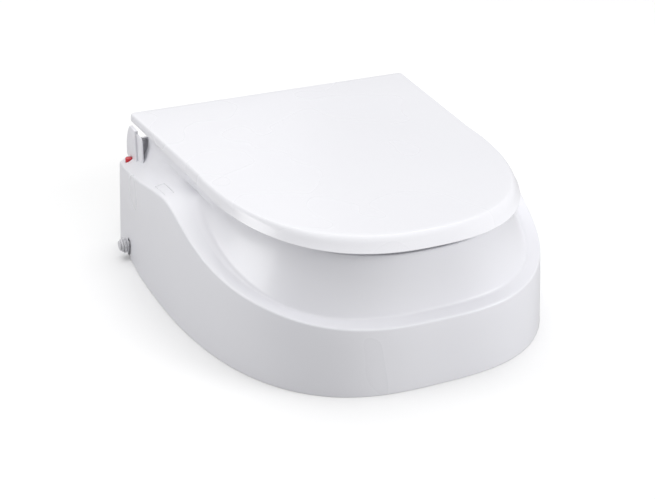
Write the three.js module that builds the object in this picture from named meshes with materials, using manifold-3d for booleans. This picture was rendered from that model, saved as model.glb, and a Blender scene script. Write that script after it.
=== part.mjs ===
// Raised toilet seat: a moulded shell that covers the bowl's rim, a seat ring and a lid on one hinge line, a
// height carriage that rests on the rim, two side clamps and two red release buttons.
// Millimetres. +Z up, the front faces -Y, X = 0 is the plane of symmetry, Z = 0 is the shell's bottom edge.
import * as THREE from 'three';
import { mergeVertices } from 'three/addons/utils/BufferGeometryUtils.js';
import Module from 'manifold-3d';

const wasm = await Module();
wasm.setup();

// ---- driving dimensions ----------------------------------------------------------------------------------
const GAP = 0.3;                 // running gap left between pieces that touch
const RING_REAR_HALF = 185;      // line that the riser's top and the seat follow: half width at the back
const RING_HALF = 170.9;         // its half width where the round front starts
const RING_LENGTH = 437;         // back edge to front tip
const STRAIGHT = 193;            // length of its nearly straight sides
const RING_ROUND = 2.373;        // superellipse power of its front

const LID_REAR_HALF = 185;       // the lid widens from its flat top down to a longer rim
const LID_RIM_HALF = 174.2;
const LID_RIM_LENGTH = 446.9;
const LID_RIM_ROUND = 2.51;
const LID_TOP_HALF = 171.8;
const LID_TOP_LENGTH = 434.3;
const LID_TOP_ROUND = 2.41;
const LID_STRAIGHT = 201.3;
const LID_TOP = 165.4;           // height of the closed lid's top
const LID_PLATE = 4;
const LID_SKIRT_REAR = 9.7;      // skirt depth at the back
const LID_SKIRT_FRONT = 14.4;    // skirt depth at the front
const LID_WALL = 3.2;

const BASE_LENGTH = 464;         // shell, back edge to front, at the bottom
const BASE_REAR_HALF = 208.5;
const BASE_HALF = 216;
const BASE_STRAIGHT = 108.4;
const BASE_ROUND = 2.825;
const BASE_BACK = -1.2;          // the shell's back wall stands just inside the lid's back edge
const DRAFT = 0.0557;            // inward lean of the shell's wall, mm per mm of height
const WALL = 3;                  // shell wall
const DECK_TOP = 142;            // top of the shell under the seat

const FOOT_HALF = 180;           // riser half width at the ledge
const FOOT_REAR_HALF = 186;
const FOOT_LENGTH = 443;
const FOOT_ROUND = 2.95;
const RISER_INSET = 1.9;         // riser top edge, inside the ring line
const FOOT_Z = 62;               // height where the riser's outline is the foot outline

const SEAT_THICK = 12;
const SEAT_LIFT = 4.3;           // seat underside above the deck, filled by the buffers
const SEAT_INSET = 6;            // seat edge inside the ring line
const SEAT_BACK = -70;           // back edge of the seat plate, ahead of the hinge towers
const HOLE_HALF = 106;           // seat aperture half width
const HOLE_BACK = -112;
const HOLE_FRONT = -368;
const HOLE_ROUND = 2.2;

const RAISE = 60;                // seat top above the bowl's rim at the lowest setting
const PAD_THICK = 6;
const FRAME_THICK = 6;

const HINGE_Y = -8;
const HINGE_Z = 130;
const PIN_R = 4;
const LUG_R = 10;
const TOWER_IN = LID_REAR_HALF + 1.3;   // the hinge towers stand just outside the lid
const TOWER_OUT = TOWER_IN + 4.2;
const TOWER_BACK = HINGE_Y + LUG_R;
const TOWER_ROUND = 50;          // radius of the tower's back where it leans in to the lid
const TOWER_TOP = 155;
const TOWER_CURVE = 39;          // height of that curve below the tower's flat top
const BAY_HALF = 186;            // hinge bay across the back of the shell, open for the lid's swing
const BAY_FLOOR = 90;

const PLATE_IN = 196;            // side plates of the carriage
const PLATE_THICK = 4;
const PLATE_FRONT = -210;
const PLATE_BACK = -30;
const KNOB_Y = -55;
const KNOB_Z = 17;
const KNOB_R = 10;
const KNOB_IN = 213.2;
const KNOB_LENGTH = 9.5;
const SPINDLE_R = 4;
const JAW_IN = 180;

const BUTTON_X = 193.5;
const BUTTON_Y = -17;
const BUTTON_R = 4.8;
const BUTTON_TOP = 114.5;

const LENGTH_FRONT = BASE_BACK - BASE_LENGTH;
const SHIFT_Y = -(LENGTH_FRONT + TOWER_BACK) / 2;    // puts Y = 0 in the middle of the whole part

const SEAT_BOTTOM = DECK_TOP + SEAT_LIFT;
const SEAT_TOP = SEAT_BOTTOM + SEAT_THICK;
const RIM_Z = SEAT_TOP - RAISE;
const LID_UNDER = LID_TOP - LID_PLATE;
const FRAME_BOTTOM = RIM_Z + PAD_THICK + GAP;
const FRAME_TOP = FRAME_BOTTOM + FRAME_THICK;

// ---- materials -------------------------------------------------------------------------------------------
const colours = {
  white: 0xeeeef2,
  seat_white: 0xe9e9ed,
  frame_grey: 0xc9ccd0,
  rubber: 0x3a3c40,
  pad_grey: 0x8d9196,
  steel: 0xb9bcc0,
  red: 0xd01828,
  knob_white: 0xdedfe2,
};
const materials = {};
for (const [slot, color] of Object.entries(colours)) {
  materials[slot] = new THREE.MeshStandardMaterial({ name: slot, color });
}

// ---- helpers ---------------------------------------------------------------------------------------------
function solid(geometry) {
  const bare = new THREE.BufferGeometry();
  bare.setAttribute('position', geometry.getAttribute('position').clone());
  if (geometry.index) bare.setIndex(geometry.index.clone());
  const merged = mergeVertices(bare, 1e-4);
  const mesh = new wasm.Mesh({
    numProp: 3,
    vertProperties: new Float32Array(merged.getAttribute('position').array),
    triVerts: new Uint32Array(merged.index.array),
  });
  return new wasm.Manifold(mesh);
}

function geometryOf(body) {
  const mesh = body.getMesh();
  const geometry = new THREE.BufferGeometry();
  geometry.setAttribute('position', new THREE.BufferAttribute(new Float32Array(mesh.vertProperties), 3));
  geometry.setIndex(new THREE.BufferAttribute(new Uint32Array(mesh.triVerts), 1));
  return geometry;
}

const group = new THREE.Group();
group.name = 'raised_toilet_seat';

function add(name, body, slot) {
  const geometry = geometryOf(body.translate([0, SHIFT_Y, 0]));
  geometry.computeVertexNormals();
  const mesh = new THREE.Mesh(geometry, materials[slot]);
  mesh.name = name;
  group.add(mesh);
}

function box(x0, x1, y0, y1, z0, z1) {
  const geometry = new THREE.BoxGeometry(x1 - x0, y1 - y0, z1 - z0);
  geometry.translate((x0 + x1) / 2, (y0 + y1) / 2, (z0 + z1) / 2);
  return solid(geometry);
}

// A round bar along X, Y or Z from a to b. c and d are its centre on the other two axes, in X, Y, Z order.
function bar(axis, a, b, c, d, r, sides = 24) {
  const geometry = new THREE.CylinderGeometry(r, r, b - a, sides);
  const middle = (a + b) / 2;
  if (axis === 'x') {
    geometry.rotateZ(-Math.PI / 2);
    geometry.translate(middle, c, d);
  } else if (axis === 'y') {
    geometry.translate(c, middle, d);
  } else {
    geometry.rotateX(Math.PI / 2);
    geometry.translate(c, d, middle);
  }
  return solid(geometry);
}

// A plate cut to a profile in the YZ plane, running along X from x0 to x1.
function sidePlate(points, x0, x1) {
  const shape = new THREE.Shape(points.map(([y, z]) => new THREE.Vector2(y, z)));
  const geometry = new THREE.ExtrudeGeometry(shape, { depth: x1 - x0, bevelEnabled: false, curveSegments: 12 });
  geometry.rotateZ(Math.PI / 2);
  geometry.rotateY(Math.PI / 2);
  geometry.translate(x0, 0, 0);
  return solid(geometry);
}

function mirrored(body) {
  return body.scale([-1, 1, 1]);
}

// Both hands of a piece: _r is on +X, _l on -X.
function addPair(name, body, slot) {
  add(`${name}_r`, body, slot);
  add(`${name}_l`, mirrored(body), slot);
}

// D outline, counter-clockwise from the right end of the round front: straight sides to a straight back with
// rounded corners, then a superellipse front.
const FRONT_STEPS = 44;
const SIDE_STEPS = 3;
const CORNER_STEPS = 3;
function dOutline({ half, rearHalf, back, straight, length, power, corner }) {
  const points = [];
  const turn = back - straight;
  const depth = length - straight;
  const right = [];
  for (let i = 0; i < SIDE_STEPS; i++) {
    const t = i / SIDE_STEPS;
    const y = turn + (straight - corner) * t;
    right.push([half + (rearHalf - half) * (straight - corner) / straight * t, y]);
  }
  for (let i = 0; i <= CORNER_STEPS; i++) {
    const a = (i / CORNER_STEPS) * Math.PI / 2;
    right.push([rearHalf - corner + corner * Math.cos(a), back - corner + corner * Math.sin(a)]);
  }
  points.push(...right);
  points.push(...right.slice().reverse().map(([x, y]) => [-x, y]));
  for (let i = 1; i < FRONT_STEPS; i++) {
    const a = Math.PI + (i / FRONT_STEPS) * Math.PI;
    const c = Math.cos(a);
    const s = Math.abs(Math.sin(a));
    points.push([half * Math.sign(c) * Math.abs(c) ** (2 / power), turn - depth * s ** (2 / power)]);
  }
  return points;
}

// Closed superellipse with its own front and back, for the apertures.
const OVAL_STEPS = 48;
function oval(half, back, front, power) {
  const points = [];
  const middle = (back + front) / 2;
  const reach = (back - front) / 2;
  for (let i = 0; i < OVAL_STEPS; i++) {
    const a = (i / OVAL_STEPS) * 2 * Math.PI;
    const c = Math.cos(a);
    const s = Math.sin(a);
    const x = half * Math.sign(c) * Math.abs(c) ** (2 / power);
    points.push([x, middle + reach * Math.sign(s) * Math.abs(s) ** (2 / power)]);
  }
  return points;
}

// A closed body through a stack of outlines that have the same number of points. Each level is
// { z, points }, and z is a number or a function of the point's y. The cylinder's rings take the outlines' places.
function loft(levels) {
  const count = levels[0].points.length;
  const geometry = new THREE.CylinderGeometry(1, 1, levels.length - 1, count, levels.length - 1);
  geometry.rotateX(Math.PI / 2);
  const position = geometry.getAttribute('position');
  for (let v = 0; v < position.count; v++) {
    const x = position.getX(v);
    const y = position.getY(v);
    const level = levels[Math.round(position.getZ(v) + (levels.length - 1) / 2)];
    const height = typeof level.z === 'function' ? level.z : () => level.z;
    if (Math.hypot(x, y) < 0.5) {
      const middle = level.points.reduce((sum, p) => sum + p[1], 0) / count;
      position.setXYZ(v, 0, middle, height(middle));
    } else {
      const index = Math.round((Math.atan2(y, x) / (2 * Math.PI)) * count);
      const point = level.points[((index % count) + count) % count];
      position.setXYZ(v, point[0], point[1], height(point[1]));
    }
  }
  return solid(geometry);
}

// ---- outlines --------------------------------------------------------------------------------------------
function ringOutline(inset) {
  return dOutline({
    half: RING_HALF - inset,
    rearHalf: RING_REAR_HALF - inset,
    back: -inset,
    straight: STRAIGHT - inset,
    length: RING_LENGTH - 2 * inset,
    power: RING_ROUND,
    corner: 6,
  });
}

// The lid's outline between its rim (up = 0) and its flat top (up = 1).
function lidOutline(up, inset) {
  const mix = (rim, top) => rim + (top - rim) * up;
  return dOutline({
    half: mix(LID_RIM_HALF, LID_TOP_HALF) - inset,
    rearHalf: LID_REAR_HALF - inset,
    back: -inset,
    straight: LID_STRAIGHT - inset,
    length: mix(LID_RIM_LENGTH, LID_TOP_LENGTH) - 2 * inset,
    power: mix(LID_RIM_ROUND, LID_TOP_ROUND),
    corner: 6,
  });
}

function baseOutline(z, inset) {
  const lean = DRAFT * z + inset;
  return dOutline({
    half: BASE_HALF - lean,
    rearHalf: BASE_REAR_HALF - lean,
    back: BASE_BACK - inset,
    straight: BASE_STRAIGHT - inset,
    length: BASE_LENGTH - lean - inset,
    power: BASE_ROUND,
    corner: 5,
  });
}

function footOutline(inset) {
  return dOutline({
    half: FOOT_HALF - inset,
    rearHalf: FOOT_REAR_HALF - inset,
    back: BASE_BACK - inset,
    straight: STRAIGHT + BASE_BACK - inset,
    length: FOOT_LENGTH + BASE_BACK - 2 * inset,
    power: FOOT_ROUND,
    corner: 5,
  });
}

function riserTopOutline(inset) {
  const inner = RISER_INSET + inset;
  return dOutline({
    half: RING_HALF - inner,
    rearHalf: RING_REAR_HALF - inner,
    back: BASE_BACK - inset,
    straight: STRAIGHT + BASE_BACK - inset,
    length: RING_LENGTH + BASE_BACK - RISER_INSET - 2 * inset,
    power: RING_ROUND,
    corner: 5,
  });
}

// Height of the lid's lower rim, and of the raised rim of the shell that reaches up under it at the sides and
// falls away to the deck at the front.
function lidBottom(y) {
  return LID_TOP - LID_SKIRT_REAR - (LID_SKIRT_FRONT - LID_SKIRT_REAR) * (-y / LID_RIM_LENGTH);
}
const RIM_AIR = 1.5;
const RIM_FALL = 7.3;
const RIM_EVEN = 200;            // the raised rim keeps its air to the lid this far from the back
function raisedRim(y) {
  const t = Math.min(1, Math.max(0, (-y - RIM_EVEN) / (RING_LENGTH - RIM_EVEN)));
  return lidBottom(y) - RIM_AIR - RIM_FALL * t * t;
}

// Height of the shell's outer top edge along Y: the shoulder climbs gently from the back to its crest beside
// the seat, then sweeps down to the low ledge at the front.
const SHOULDER_REAR = 105.4;
const CREST_Z = 135.8;
const CREST_Y = -194;
const LEDGE_Z = 74.5;            // lowest point of the ledge, at the front
const LEDGE_CLIMB = 38.6;        // how much the ledge climbs from the front back to the crest
function edgeHeight(y) {
  if (y > CREST_Y) {
    const t = (BASE_BACK - y) / (BASE_BACK - CREST_Y);
    return SHOULDER_REAR + (CREST_Z - SHOULDER_REAR) * (0.42 * t + 1.6 * t ** 2 - 1.02 * t ** 3);
  }
  const t = (CREST_Y - y) / (CREST_Y - LENGTH_FRONT);
  const sweep = 1 - Math.exp(-((t / 0.264) ** 1.726));
  return CREST_Z + (LEDGE_Z + LEDGE_CLIMB * (1 - t) - CREST_Z) * sweep;
}

// Inward rise of the shoulder's top from its outer edge to the riser's foot.
function shoulderRise(y) {
  const t = Math.min(1, Math.max(0, (y + 250) / 200));
  return 9 * t * t * (3 - 2 * t);
}

// Everything below the shell's swept top surface, lowered by drop.
const SWEEP_HALF = 240;
const RISE_OUT = 205;
const RISE_IN = 184;
function underSweep(drop) {
  const steps = 40;
  const points = [[20, -10]];
  points.push([20, edgeHeight(BASE_BACK) - drop]);
  for (let i = 0; i <= steps; i++) {
    const y = BASE_BACK + (LENGTH_FRONT - 10 - BASE_BACK) * (i / steps);
    points.push([y, edgeHeight(y) - drop]);
  }
  points.push([LENGTH_FRONT - 10, -10]);
  const shape = new THREE.Shape(points.map(([y, z]) => new THREE.Vector2(y, z)));
  const geometry = new THREE.ExtrudeGeometry(shape, { depth: 5, steps: 5, bevelEnabled: false });
  geometry.rotateZ(Math.PI / 2);
  geometry.rotateY(Math.PI / 2);
  const stations = [-SWEEP_HALF, -RISE_OUT, -RISE_IN, RISE_IN, RISE_OUT, SWEEP_HALF];
  const position = geometry.getAttribute('position');
  for (let v = 0; v < position.count; v++) {
    const station = Math.round(position.getX(v));
    const inner = station === 2 || station === 3;
    const y = position.getY(v);
    const z = position.getZ(v);
    position.setX(v, stations[station]);
    if (inner && z > 0) position.setZ(v, z + shoulderRise(y));
  }
  return solid(geometry);
}

// ---- shell -----------------------------------------------------------------------------------------------
const TALL = LID_TOP - 5.4;       // the shell's walls are cut down from a body this tall
const baseSolid = loft([{ z: 0, points: baseOutline(0, 0) }, { z: TALL, points: baseOutline(TALL, 0) }]);
const baseCavity = loft([{ z: -1, points: baseOutline(0, WALL) }, { z: TALL, points: baseOutline(TALL, WALL) }]);
const skirt = baseSolid.intersect(underSweep(0));
const skirtCavity = baseCavity.intersect(underSweep(WALL));
const riser = loft([
  { z: FOOT_Z, points: footOutline(0) },
  { z: DECK_TOP - 0.5, points: riserTopOutline(0) },
  { z: DECK_TOP, points: riserTopOutline(0.5) },
]);
const RIM_WALL = 3.5;
const rim = loft([
  { z: DECK_TOP - 1.5, points: riserTopOutline(0) },
  { z: (y) => raisedRim(y) - 0.7, points: riserTopOutline(0) },
  { z: raisedRim, points: riserTopOutline(0.7) },
]).subtract(loft([
  { z: DECK_TOP, points: riserTopOutline(RIM_WALL) },
  { z: LID_TOP, points: riserTopOutline(RIM_WALL) },
]));
const riserCavity = loft([
  { z: FOOT_Z - 1, points: footOutline(WALL) },
  { z: DECK_TOP - WALL, points: riserTopOutline(WALL) },
]);

// The hinge bay's front wall leans forward as it rises.
const BAY_FRONT_LOW = -37;
const BAY_FRONT_HIGH = -58.5;
function hingeBay(grow) {
  const profile = [
    [5, BAY_FLOOR - grow],
    [5, TALL],
    [BAY_FRONT_HIGH - 1.1 * grow, TALL],
    [BAY_FRONT_LOW - 1.1 * grow, BAY_FLOOR - grow],
  ];
  return sidePlate(profile, -BAY_HALF - grow, BAY_HALF + grow);
}

const REAR_HALF = 176;           // the back of the shell is open so that it passes over the bowl
const REAR_TOP = BAY_FLOOR - WALL - 4;
const DECK_HOLE = oval(HOLE_HALF + 12, HOLE_BACK + 12, HOLE_FRONT - 12, HOLE_ROUND);
let shell = skirt.add(riser).add(rim);
shell = shell.subtract(hingeBay(0));
shell = shell.subtract(skirtCavity.add(riserCavity).subtract(hingeBay(WALL)));
shell = shell.subtract(loft([{ z: 120, points: DECK_HOLE }, { z: TALL, points: DECK_HOLE }]));
shell = shell.subtract(box(-REAR_HALF, REAR_HALF, -20, 10, -5, REAR_TOP));

// Moulded channels that guide the carriage's side plates, and the latch's shelf and trough.
const FIT = 0.4;
const plateOut = PLATE_IN + PLATE_THICK;
const frontChannel = box(PLATE_IN - 3, 230, PLATE_FRONT - 10, PLATE_FRONT + 5, 2, 122)
  .subtract(box(PLATE_IN - FIT, plateOut + FIT, PLATE_FRONT - FIT, PLATE_FRONT + 20, -5, 160));
const rearChannel = box(PLATE_IN - 3, 230, PLATE_BACK - 5, PLATE_BACK + 4, 26, 100)
  .subtract(box(PLATE_IN - FIT, plateOut + FIT, PLATE_BACK - 20, PLATE_BACK + FIT, -5, 160));
const SHELF_Z = 80;
const SHELF_THICK = 6;
const ROD_R = 2.5;
const shelf = box(BUTTON_X - 8, 230, BUTTON_Y - 8, 0, SHELF_Z, SHELF_Z + SHELF_THICK)
  .subtract(bar('z', 60, 110, BUTTON_X, BUTTON_Y, ROD_R + FIT));
const PAWL_IN = 188;
const PAWL_OUT = 200;
const PAWL_BOTTOM = 6;
const trough = box(PAWL_IN - 3, 230, -27, 0, 3, 22)
  .subtract(box(PAWL_IN - FIT, PAWL_OUT + FIT, -40, -WALL + BASE_BACK, PAWL_BOTTOM - FIT, 30));
let ribs = frontChannel.add(rearChannel).add(shelf).add(trough);
ribs = ribs.intersect(skirt);
const knobNotch = box(200, 240, KNOB_Y - SPINDLE_R - 2, KNOB_Y + SPINDLE_R + 2, -5, KNOB_Z + SPINDLE_R + 2);
const buttonHole = bar('z', 88, 140, BUTTON_X, BUTTON_Y, BUTTON_R + FIT);

const SOCKET_Y0 = -184;
const SOCKET_Y1 = -148;
const SOCKET_X0 = 191;
const SOCKET_X1 = 202;
const socketHole = box(SOCKET_X0, SOCKET_X1, SOCKET_Y0, SOCKET_Y1, 112, 150);
const TOWER_SCREW_R = 1.5;
const TOWER_SCREW_HEAD = 3.2;
const TOWER_SCREW_YS = [-37, -29];
const towerScrewZ = 97;
const TONGUE_Y0 = -41;
const TONGUE_Y1 = -24.5;
const TONGUE_THICK = 3.2;
const tongueIn = BAY_HALF + WALL + GAP;
let cuts = knobNotch.add(buttonHole).add(socketHole);
cuts = cuts.add(box(tongueIn - GAP, tongueIn + TONGUE_THICK + GAP, TONGUE_Y0 - GAP, TONGUE_Y1 + GAP, 91, 125));
for (const y of TOWER_SCREW_YS) {
  cuts = cuts.add(bar('x', BAY_HALF - 4, BAY_HALF + WALL + 1, y, towerScrewZ, TOWER_SCREW_R + GAP));
  cuts = cuts.add(bar('x', BAY_HALF - 4, BAY_HALF + 1.8, y, towerScrewZ, TOWER_SCREW_HEAD + GAP));
}
shell = shell.add(ribs).add(mirrored(ribs)).subtract(cuts).subtract(mirrored(cuts));
add('shell', shell, 'white');

const coverBox = box(SOCKET_X0 + FIT, SOCKET_X1 - FIT, SOCKET_Y0 + FIT, SOCKET_Y1 - FIT, 100, 150);
const cover = skirt.intersect(coverBox).subtract(underSweep(2.6));
addPair('socket_cover', cover, 'white');

// ---- splash guard ----------------------------------------------------------------------------------------
const GUARD_BOTTOM = 72;
function guardOutline(grow) {
  return oval(HOLE_HALF + grow, HOLE_BACK + grow, HOLE_FRONT - grow, HOLE_ROUND);
}
const guard = loft([
  { z: GUARD_BOTTOM, points: guardOutline(2) },
  { z: DECK_TOP + GAP, points: guardOutline(11) },
  { z: DECK_TOP + GAP + 0.01, points: guardOutline(18) },
  { z: DECK_TOP + 2, points: guardOutline(18) },
]).subtract(loft([
  { z: GUARD_BOTTOM - 1, points: guardOutline(0) },
  { z: DECK_TOP + 5, points: guardOutline(8.5) },
]));
add('splash_guard', guard, 'seat_white');

// ---- hinge towers, pins and screws -----------------------------------------------------------------------
const BRACKET_Y0 = -35;
const BRACKET_Y1 = -29;
const WEB_FRONT = -56;
const WEB_OUT = TOWER_IN + 1.8;
const TOWER_LOW = 95;
const roundY = TOWER_BACK - TOWER_ROUND;
const roundZ = TOWER_TOP - TOWER_CURVE;
const HEAD_FRONT = -37;
const BRACKET_IN = 165;          // a wall behind the web closes the view into the bay
let tower = bar('x', TOWER_IN, TOWER_OUT, roundY, roundZ, TOWER_ROUND, 72)
  .intersect(box(TOWER_IN, TOWER_OUT, HEAD_FRONT, TOWER_BACK, TOWER_LOW, TOWER_TOP))
  .add(box(TOWER_IN, TOWER_OUT, HEAD_FRONT, TOWER_BACK, TOWER_LOW, roundZ))
  .add(box(TOWER_IN, WEB_OUT, WEB_FRONT, HEAD_FRONT + 1, TOWER_LOW, TOWER_TOP - 4))
  .subtract(underSweep(-GAP))
  .subtract(bar('z', 90, BUTTON_TOP + 2, BUTTON_X, BUTTON_Y, BUTTON_R + FIT));
const bracketTop = edgeHeight(BRACKET_Y1) + 18;
tower = tower.add(box(BRACKET_IN, TOWER_IN + 1, BRACKET_Y0, BRACKET_Y1, bracketTop, 142))
  .add(box(BRACKET_IN, BAY_HALF - GAP, BRACKET_Y0, BRACKET_Y1, BAY_FLOOR + GAP, 142));
const tongue = box(tongueIn, tongueIn + TONGUE_THICK, TONGUE_Y0, TONGUE_Y1, towerScrewZ - 5, 118);
const pinOut = TOWER_OUT - 1;
tower = tower.add(tongue).subtract(bar('x', TOWER_IN - 5, pinOut + GAP, HINGE_Y, HINGE_Z, PIN_R + 0.15));
for (const y of TOWER_SCREW_YS) {
  const hole = bar('x', tongueIn - 1, tongueIn + TONGUE_THICK + 1, y, towerScrewZ, TOWER_SCREW_R + GAP);
  tower = tower.subtract(hole);
}
addPair('hinge_tower', tower, 'white');
const PIN_IN = 132;
addPair('hinge_pin', bar('x', PIN_IN, pinOut, HINGE_Y, HINGE_Z, PIN_R), 'steel');
TOWER_SCREW_YS.forEach((y, i) => {
  const screw = bar('x', BAY_HALF + 0.2, BAY_HALF + 1.5, y, towerScrewZ, TOWER_SCREW_HEAD, 16)
    .add(bar('x', BAY_HALF + 1, tongueIn + TONGUE_THICK, y, towerScrewZ, TOWER_SCREW_R, 16));
  addPair(`tower_screw_${i + 1}`, screw, 'steel');
});

// ---- seat ------------------------------------------------------------------------------------------------
const seatOuter = ringOutline(SEAT_INSET);
const seatEdge = ringOutline(SEAT_INSET + 4);
const seatHole = oval(HOLE_HALF, HOLE_BACK, HOLE_FRONT, HOLE_ROUND);
const seatHoleTop = oval(HOLE_HALF + 6, HOLE_BACK + 6, HOLE_FRONT - 6, HOLE_ROUND);
let seat = loft([
  { z: SEAT_BOTTOM, points: seatOuter },
  { z: SEAT_TOP - 4, points: seatOuter },
  { z: SEAT_TOP, points: seatEdge },
]);
seat = seat.subtract(loft([
  { z: SEAT_BOTTOM - 1, points: seatHole },
  { z: SEAT_TOP - 5, points: seatHole },
  { z: SEAT_TOP, points: seatHoleTop },
  { z: SEAT_TOP + 1, points: seatHoleTop },
]));
seat = seat.subtract(box(-200, 200, SEAT_BACK, 20, 100, 200));
const SEAT_LUG_IN = 136;
const LUG_WIDTH = 12;
const LUG_AIR = 3;
const seatLugProfile = [
  [SEAT_BACK - 14, SEAT_BOTTOM],
  [HINGE_Y - 24, SEAT_BOTTOM],
  [HINGE_Y - LUG_R * 0.9, HINGE_Z - LUG_R * 0.3],
  [HINGE_Y + LUG_R * 0.75, HINGE_Z + LUG_R * 0.6],
  [HINGE_Y - 12, SEAT_TOP - 2],
  [SEAT_BACK - 14, SEAT_TOP - 1],
];
function seatLug() {
  return sidePlate(seatLugProfile, SEAT_LUG_IN, SEAT_LUG_IN + LUG_WIDTH)
    .add(bar('x', SEAT_LUG_IN, SEAT_LUG_IN + LUG_WIDTH, HINGE_Y, HINGE_Z, LUG_R, 28))
    .subtract(bar('x', SEAT_LUG_IN - 5, SEAT_LUG_IN + LUG_WIDTH + 5, HINGE_Y, HINGE_Z, PIN_R + 0.2));
}
seat = seat.add(seatLug()).add(mirrored(seatLug()));
add('seat', seat, 'seat_white');

const BUFFER_SPOTS = [[138, -130, 'rear'], [112, -352, 'front']];
const BUFFER_R = 7;
for (const [x, y, place] of BUFFER_SPOTS) {
  addPair(`seat_buffer_${place}`, bar('z', DECK_TOP + GAP, SEAT_BOTTOM - GAP, x, y, BUFFER_R, 20), 'pad_grey');
}

// ---- lid -------------------------------------------------------------------------------------------------
let lid = loft([
  { z: lidBottom, points: lidOutline(0, 0.8) },
  { z: (y) => lidBottom(y) + 1.2, points: lidOutline(0.05, 0) },
  { z: LID_TOP - 2.6, points: lidOutline(0.78, 0) },
  { z: LID_TOP - 0.8, points: lidOutline(0.95, 0.3) },
  { z: LID_TOP, points: lidOutline(1, 2.2) },
]);
lid = lid.subtract(loft([
  { z: (y) => lidBottom(y) - 2, points: lidOutline(0, LID_WALL) },
  { z: lidBottom, points: lidOutline(0, LID_WALL) },
  { z: LID_UNDER, points: lidOutline(0.7, LID_WALL) },
]));
const LID_LUG_IN = SEAT_LUG_IN + LUG_WIDTH + LUG_AIR;
function lidLug() {
  const out = LID_LUG_IN + LUG_WIDTH;
  return box(LID_LUG_IN, out, HINGE_Y - LUG_R, -1, HINGE_Z, LID_UNDER + 1)
    .add(bar('x', LID_LUG_IN, out, HINGE_Y, HINGE_Z, LUG_R, 28))
    .subtract(bar('x', LID_LUG_IN - 5, out + 5, HINGE_Y, HINGE_Z, PIN_R + 0.2));
}
lid = lid.add(lidLug()).add(mirrored(lidLug()));
add('lid', lid, 'white');

const LID_BUFFER_SPOTS = [[140, -150, 'rear'], [118, -340, 'front']];
for (const [x, y, place] of LID_BUFFER_SPOTS) {
  addPair(`lid_buffer_${place}`, bar('z', SEAT_TOP + GAP, LID_UNDER - GAP, x, y, 6, 20), 'pad_grey');
}

// ---- height carriage -------------------------------------------------------------------------------------
const EAR_Y0 = -196;
const EAR_Y1 = -118;
const frameOuter = dOutline({
  half: 160,
  rearHalf: 160,
  back: -70,
  straight: 142,
  length: 342,
  power: 2.7,
  corner: 20,
});
const frameHole = oval(HOLE_HALF + 17, HOLE_BACK + 17, HOLE_FRONT - 17, HOLE_ROUND);
let frame = loft([{ z: FRAME_BOTTOM, points: frameOuter }, { z: FRAME_TOP, points: frameOuter }]);
frame = frame.add(box(-PLATE_IN + GAP, PLATE_IN - GAP, EAR_Y0, EAR_Y1, FRAME_BOTTOM, FRAME_TOP));
frame = frame.subtract(loft([{ z: 80, points: frameHole }, { z: 140, points: frameHole }]));
const earTab = box(PLATE_IN - GAP - 6, PLATE_IN - GAP, EAR_Y0, EAR_Y1, FRAME_BOTTOM - 12, FRAME_TOP);
frame = frame.add(earTab).add(mirrored(earTab));
const PLATE_SCREW_YS = [EAR_Y0 + 14, EAR_Y1 - 14];
const plateScrewZ = FRAME_BOTTOM - 5;
const PLATE_SCREW_R = 2.5;
for (const y of PLATE_SCREW_YS) {
  const hole = bar('x', 180, 210, y, plateScrewZ, PLATE_SCREW_R + GAP);
  frame = frame.subtract(hole).subtract(mirrored(hole));
}
add('rim_frame', frame, 'frame_grey');

const RIM_PADS = [[148, -100, 'rear'], [118, -330, 'front']];
for (const [x, y, place] of RIM_PADS) {
  addPair(`rim_pad_${place}`, bar('z', RIM_Z, FRAME_BOTTOM - GAP, x, y, 12, 24), 'rubber');
}

// Side plates: one notch in the back edge for each height setting.
const PLATE_BOTTOM = 2;
const PLATE_TOP = 122;
const STEPS_DOWN = [0, 40, 90];
const TOOTH_Z = 8.5;
let plate = sidePlate([
  [PLATE_BACK, PLATE_BOTTOM],
  [PLATE_BACK, 102],
  [-105, 102],
  [-118, PLATE_TOP],
  [PLATE_FRONT, PLATE_TOP],
  [PLATE_FRONT, 66],
  [-150, 66],
  [-90, PLATE_BOTTOM],
], PLATE_IN, plateOut);
for (const down of STEPS_DOWN) {
  const z = TOOTH_Z + down;
  plate = plate.subtract(box(PLATE_IN - 5, plateOut + 5, PLATE_BACK - 4, PLATE_BACK + 5, z - 3, z + 3));
}
plate = plate.subtract(bar('x', PLATE_IN - 5, plateOut + 5, KNOB_Y, KNOB_Z, SPINDLE_R + GAP));
for (const y of PLATE_SCREW_YS) {
  plate = plate.subtract(bar('x', 180, 210, y, plateScrewZ, PLATE_SCREW_R + GAP));
}
addPair('side_plate', plate, 'frame_grey');
PLATE_SCREW_YS.forEach((y, i) => {
  const screw = bar('x', PLATE_IN - 8, plateOut + 1, y, plateScrewZ, PLATE_SCREW_R, 16)
    .add(bar('x', plateOut + GAP, plateOut + 2.4, y, plateScrewZ, 4.4, 16));
  addPair(`plate_screw_${i + 1}`, screw, 'steel');
});

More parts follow.
